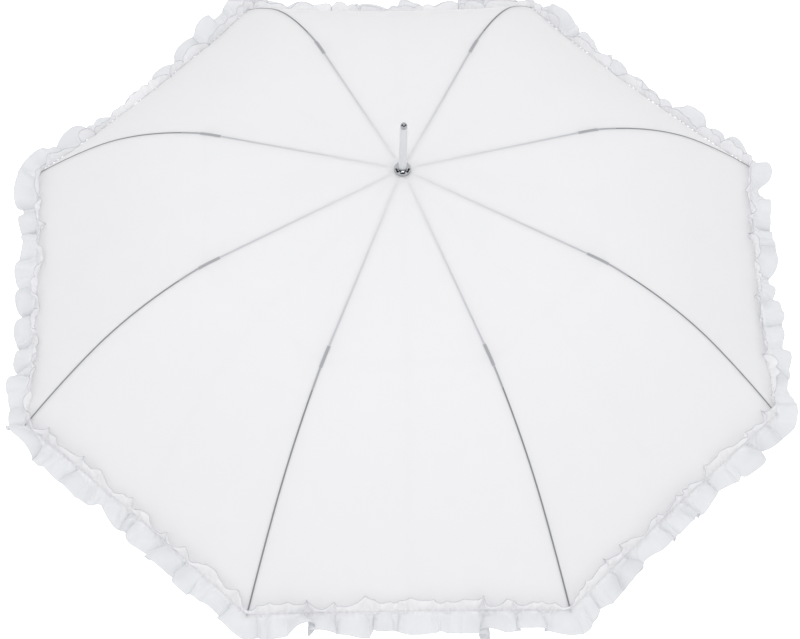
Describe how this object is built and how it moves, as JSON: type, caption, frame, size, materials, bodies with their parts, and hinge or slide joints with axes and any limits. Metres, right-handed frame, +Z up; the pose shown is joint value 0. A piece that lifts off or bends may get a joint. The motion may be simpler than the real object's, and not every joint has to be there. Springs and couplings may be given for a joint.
{
  "type": "parasol",
  "caption": "Open stick parasol with a white panelled canopy, gathered frill hem, folding ribs and stretchers, sliding runner, chrome ball tip and straight white handle.",
  "frame": {"origin": "on the shaft's axis at the middle of the straight grip", "axes": "+Z up the shaft towards the tip; rib 1 is 67.5 degrees clockwise from +X seen from above; -Y is the front, where the catches are"},
  "size_m": [1.0014, 1.0014, 0.8667],
  "materials": {
    "canopy_cloth": "plain weave, matt",
    "frill_cloth": "sheer plain weave, gathered",
    "chrome": "mirror polished",
    "white_tube": "gloss white paint",
    "zinc_steel": "zinc plated, satin",
    "rod": "pultruded glass fibre, satin grey",
    "white_plastic": "moulded, gloss",
    "handle_white": "turned wood, white lacquer"
  },
  "bodies": {
    "stick": {"shaft": "white_tube", "top_notch": "white_plastic", "notch_ring": "zinc_steel", "crown_cap": "chrome", "ferrule": "white_plastic", "tip_ball": "chrome", "cross_pins": "zinc_steel", "handle": "handle_white"},
    "rib_1": {"rib_inner_1": "zinc_steel", "canopy_inner_1": "canopy_cloth"},
    "rod_1": {"rib_outer_1": "rod", "canopy_outer_1": "canopy_cloth", "frill_1": "frill_cloth"},
    "strut_1": {"stretcher_1": "zinc_steel"},
    "rib_2": {"rib_inner_2": "zinc_steel", "canopy_inner_2": "canopy_cloth"},
    "rod_2": {"rib_outer_2": "rod", "canopy_outer_2": "canopy_cloth", "frill_2": "frill_cloth"},
    "strut_2": {"stretcher_2": "zinc_steel"},
    "rib_3": {"rib_inner_3": "zinc_steel", "canopy_inner_3": "canopy_cloth"},
    "rod_3": {"rib_outer_3": "rod", "canopy_outer_3": "canopy_cloth", "frill_3": "frill_cloth"},
    "strut_3": {"stretcher_3": "zinc_steel"},
    "rib_4": {"rib_inner_4": "zinc_steel", "canopy_inner_4": "canopy_cloth"},
    "rod_4": {"rib_outer_4": "rod", "canopy_outer_4": "canopy_cloth", "frill_4": "frill_cloth"},
    "strut_4": {"stretcher_4": "zinc_steel"},
    "rib_5": {"rib_inner_5": "zinc_steel", "canopy_inner_5": "canopy_cloth"},
    "rod_5": {"rib_outer_5": "rod", "canopy_outer_5": "canopy_cloth", "frill_5": "frill_cloth"},
    "strut_5": {"stretcher_5": "zinc_steel"},
    "rib_6": {"rib_inner_6": "zinc_steel", "canopy_inner_6": "canopy_cloth"},
    "rod_6": {"rib_outer_6": "rod", "canopy_outer_6": "canopy_cloth", "frill_6": "frill_cloth"},
    "strut_6": {"stretcher_6": "zinc_steel"},
    "rib_7": {"rib_inner_7": "zinc_steel", "canopy_inner_7": "canopy_cloth"},
    "rod_7": {"rib_outer_7": "rod", "canopy_outer_7": "canopy_cloth", "frill_7": "frill_cloth"},
    "strut_7": {"stretcher_7": "zinc_steel"},
    "rib_8": {"rib_inner_8": "zinc_steel", "canopy_inner_8": "canopy_cloth"},
    "rod_8": {"rib_outer_8": "rod", "canopy_outer_8": "canopy_cloth", "frill_8": "frill_cloth"},
    "strut_8": {"stretcher_8": "zinc_steel"},
    "runner": {"runner": "white_plastic", "runner_ring": "zinc_steel"},
    "top_catch": {"top_catch": "zinc_steel"},
    "bottom_catch": {"bottom_catch": "zinc_steel"}
  },
  "joints": [
    {"name": "fold", "type": "hinge", "parent": "stick", "child": "rib_1", "pos_m": [0.00383, -0.00924, 0.705], "axis": [0.9239, 0.3827, 0], "range_deg": [0, 74], "deforming": ["canopy_inner_1"]},
    {"name": "rib_2_fold", "type": "hinge", "parent": "stick", "child": "rib_2", "pos_m": [0.00924, -0.00383, 0.705], "axis": [0.3827, 0.9239, 0], "range_deg": [0, 74], "deforming": ["canopy_inner_2"]},
    {"name": "rib_3_fold", "type": "hinge", "parent": "stick", "child": "rib_3", "pos_m": [0.00924, 0.00383, 0.705], "axis": [-0.3827, 0.9239, 0], "range_deg": [0, 74], "deforming": ["canopy_inner_3"]},
    {"name": "rib_4_fold", "type": "hinge", "parent": "stick", "child": "rib_4", "pos_m": [0.00383, 0.00924, 0.705], "axis": [-0.9239, 0.3827, 0], "range_deg": [0, 74], "deforming": ["canopy_inner_4"]},
    {"name": "rib_5_fold", "type": "hinge", "parent": "stick", "child": "rib_5", "pos_m": [-0.00383, 0.00924, 0.705], "axis": [-0.9239, -0.3827, 0], "range_deg": [0, 74], "deforming": ["canopy_inner_5"]},
    {"name": "rib_6_fold", "type": "hinge", "parent": "stick", "child": "rib_6", "pos_m": [-0.00924, 0.00383, 0.705], "axis": [-0.3827, -0.9239, 0], "range_deg": [0, 74], "deforming": ["canopy_inner_6"]},
    {"name": "rib_7_fold", "type": "hinge", "parent": "stick", "child": "rib_7", "pos_m": [-0.00924, -0.00383, 0.705], "axis": [0.3827, -0.9239, 0], "range_deg": [0, 74], "deforming": ["canopy_inner_7"]},
    {"name": "rib_8_fold", "type": "hinge", "parent": "stick", "child": "rib_8", "pos_m": [-0.00383, -0.00924, 0.705], "axis": [0.9239, -0.3827, 0], "range_deg": [0, 74], "deforming": ["canopy_inner_8"]},
    {"name": "rod_1_flex", "type": "hinge", "parent": "rib_1", "child": "rod_1", "pos_m": [0.1004, -0.24239, 0.65136], "axis": [0.9239, 0.3827, 0], "range_deg": [-20.5, 0], "deforming": ["canopy_outer_1", "frill_1"]},
    {"name": "rod_2_flex", "type": "hinge", "parent": "rib_2", "child": "rod_2", "pos_m": [0.24239, -0.1004, 0.65136], "axis": [0.3827, 0.9239, 0], "range_deg": [-20.5, 0], "deforming": ["canopy_outer_2", "frill_2"]},
    {"name": "rod_3_flex", "type": "hinge", "parent": "rib_3", "child": "rod_3", "pos_m": [0.24239, 0.1004, 0.65136], "axis": [-0.3827, 0.9239, 0], "range_deg": [-20.5, 0], "deforming": ["canopy_outer_3", "frill_3"]},
    {"name": "rod_4_flex", "type": "hinge", "parent": "rib_4", "child": "rod_4", "pos_m": [0.1004, 0.24239, 0.65136], "axis": [-0.9239, 0.3827, 0], "range_deg": [-20.5, 0], "deforming": ["canopy_outer_4", "frill_4"]},
    {"name": "rod_5_flex", "type": "hinge", "parent": "rib_5", "child": "rod_5", "pos_m": [-0.1004, 0.24239, 0.65136], "axis": [-0.9239, -0.3827, 0], "range_deg": [-20.5, 0], "deforming": ["canopy_outer_5", "frill_5"]},
    {"name": "rod_6_flex", "type": "hinge", "parent": "rib_6", "child": "rod_6", "pos_m": [-0.24239, 0.1004, 0.65136], "axis": [-0.3827, -0.9239, 0], "range_deg": [-20.5, 0], "deforming": ["canopy_outer_6", "frill_6"]},
    {"name": "rod_7_flex", "type": "hinge", "parent": "rib_7", "child": "rod_7", "pos_m": [-0.24239, -0.1004, 0.65136], "axis": [0.3827, -0.9239, 0], "range_deg": [-20.5, 0], "deforming": ["canopy_outer_7", "frill_7"]},
    {"name": "rod_8_flex", "type": "hinge", "parent": "rib_8", "child": "rod_8", "pos_m": [-0.1004, -0.24239, 0.65136], "axis": [0.9239, -0.3827, 0], "range_deg": [-20.5, 0], "deforming": ["canopy_outer_8", "frill_8"]},
    {"name": "strut_1_swing", "type": "hinge", "parent": "rib_1", "child": "strut_1", "pos_m": [0.09705, -0.23429, 0.64876], "axis": [0.9239, 0.3827, 0], "range_deg": [-148, 0]},
    {"name": "strut_2_swing", "type": "hinge", "parent": "rib_2", "child": "strut_2", "pos_m": [0.23429, -0.09705, 0.64876], "axis": [0.3827, 0.9239, 0], "range_deg": [-148, 0]},
    {"name": "strut_3_swing", "type": "hinge", "parent": "rib_3", "child": "strut_3", "pos_m": [0.23429, 0.09705, 0.64876], "axis": [-0.3827, 0.9239, 0], "range_deg": [-148, 0]},
    {"name": "strut_4_swing", "type": "hinge", "parent": "rib_4", "child": "strut_4", "pos_m": [0.09705, 0.23429, 0.64876], "axis": [-0.9239, 0.3827, 0], "range_deg": [-148, 0]},
    {"name": "strut_5_swing", "type": "hinge", "parent": "rib_5", "child": "strut_5", "pos_m": [-0.09705, 0.23429, 0.64876], "axis": [-0.9239, -0.3827, 0], "range_deg": [-148, 0]},
    {"name": "strut_6_swing", "type": "hinge", "parent": "rib_6", "child": "strut_6", "pos_m": [-0.23429, 0.09705, 0.64876], "axis": [-0.3827, -0.9239, 0], "range_deg": [-148, 0]},
    {"name": "strut_7_swing", "type": "hinge", "parent": "rib_7", "child": "strut_7", "pos_m": [-0.23429, -0.09705, 0.64876], "axis": [0.3827, -0.9239, 0], "range_deg": [-148, 0]},
    {"name": "strut_8_swing", "type": "hinge", "parent": "rib_8", "child": "strut_8", "pos_m": [-0.09705, -0.23429, 0.64876], "axis": [0.9239, -0.3827, 0], "range_deg": [-148, 0]},
    {"name": "runner_level", "type": "hinge", "parent": "strut_1", "child": "runner", "pos_m": [0.00383, -0.00924, 0.59252], "axis": [0.9239, 0.3827, 0], "range_deg": [0, 74]},
    {"name": "top_catch_press", "type": "hinge", "parent": "stick", "child": "top_catch", "pos_m": [0, -0.003, 0.51902], "axis": [-1, 0, 0], "range_deg": [0, 4.2], "stiffness_Nm_per_rad": 0.15, "springref_deg": -2.86},
    {"name": "bottom_catch_press", "type": "hinge", "parent": "stick", "child": "bottom_catch", "pos_m": [0, -0.003, 0.15269], "axis": [-1, 0, 0], "range_deg": [0, 4.2], "stiffness_Nm_per_rad": 0.15, "springref_deg": -2.86}
  ],
  "couplings": [
    {"joint": "rib_2_fold", "follows": "fold", "ratio": 1},
    {"joint": "rib_3_fold", "follows": "fold", "ratio": 1},
    {"joint": "rib_4_fold", "follows": "fold", "ratio": 1},
    {"joint": "rib_5_fold", "follows": "fold", "ratio": 1},
    {"joint": "rib_6_fold", "follows": "fold", "ratio": 1},
    {"joint": "rib_7_fold", "follows": "fold", "ratio": 1},
    {"joint": "rib_8_fold", "follows": "fold", "ratio": 1},
    {"joint": "rod_1_flex", "follows": "fold", "ratio": -0.27703},
    {"joint": "rod_2_flex", "follows": "fold", "ratio": -0.27703},
    {"joint": "rod_3_flex", "follows": "fold", "ratio": -0.27703},
    {"joint": "rod_4_flex", "follows": "fold", "ratio": -0.27703},
    {"joint": "rod_5_flex", "follows": "fold", "ratio": -0.27703},
    {"joint": "rod_6_flex", "follows": "fold", "ratio": -0.27703},
    {"joint": "rod_7_flex", "follows": "fold", "ratio": -0.27703},
    {"joint": "rod_8_flex", "follows": "fold", "ratio": -0.27703},
    {"joint": "strut_1_swing", "follows": "fold", "ratio": -2},
    {"joint": "strut_2_swing", "follows": "fold", "ratio": -2},
    {"joint": "strut_3_swing", "follows": "fold", "ratio": -2},
    {"joint": "strut_4_swing", "follows": "fold", "ratio": -2},
    {"joint": "strut_5_swing", "follows": "fold", "ratio": -2},
    {"joint": "strut_6_swing", "follows": "fold", "ratio": -2},
    {"joint": "strut_7_swing", "follows": "fold", "ratio": -2},
    {"joint": "strut_8_swing", "follows": "fold", "ratio": -2},
    {"joint": "runner_level", "follows": "fold", "ratio": 1}
  ]
}
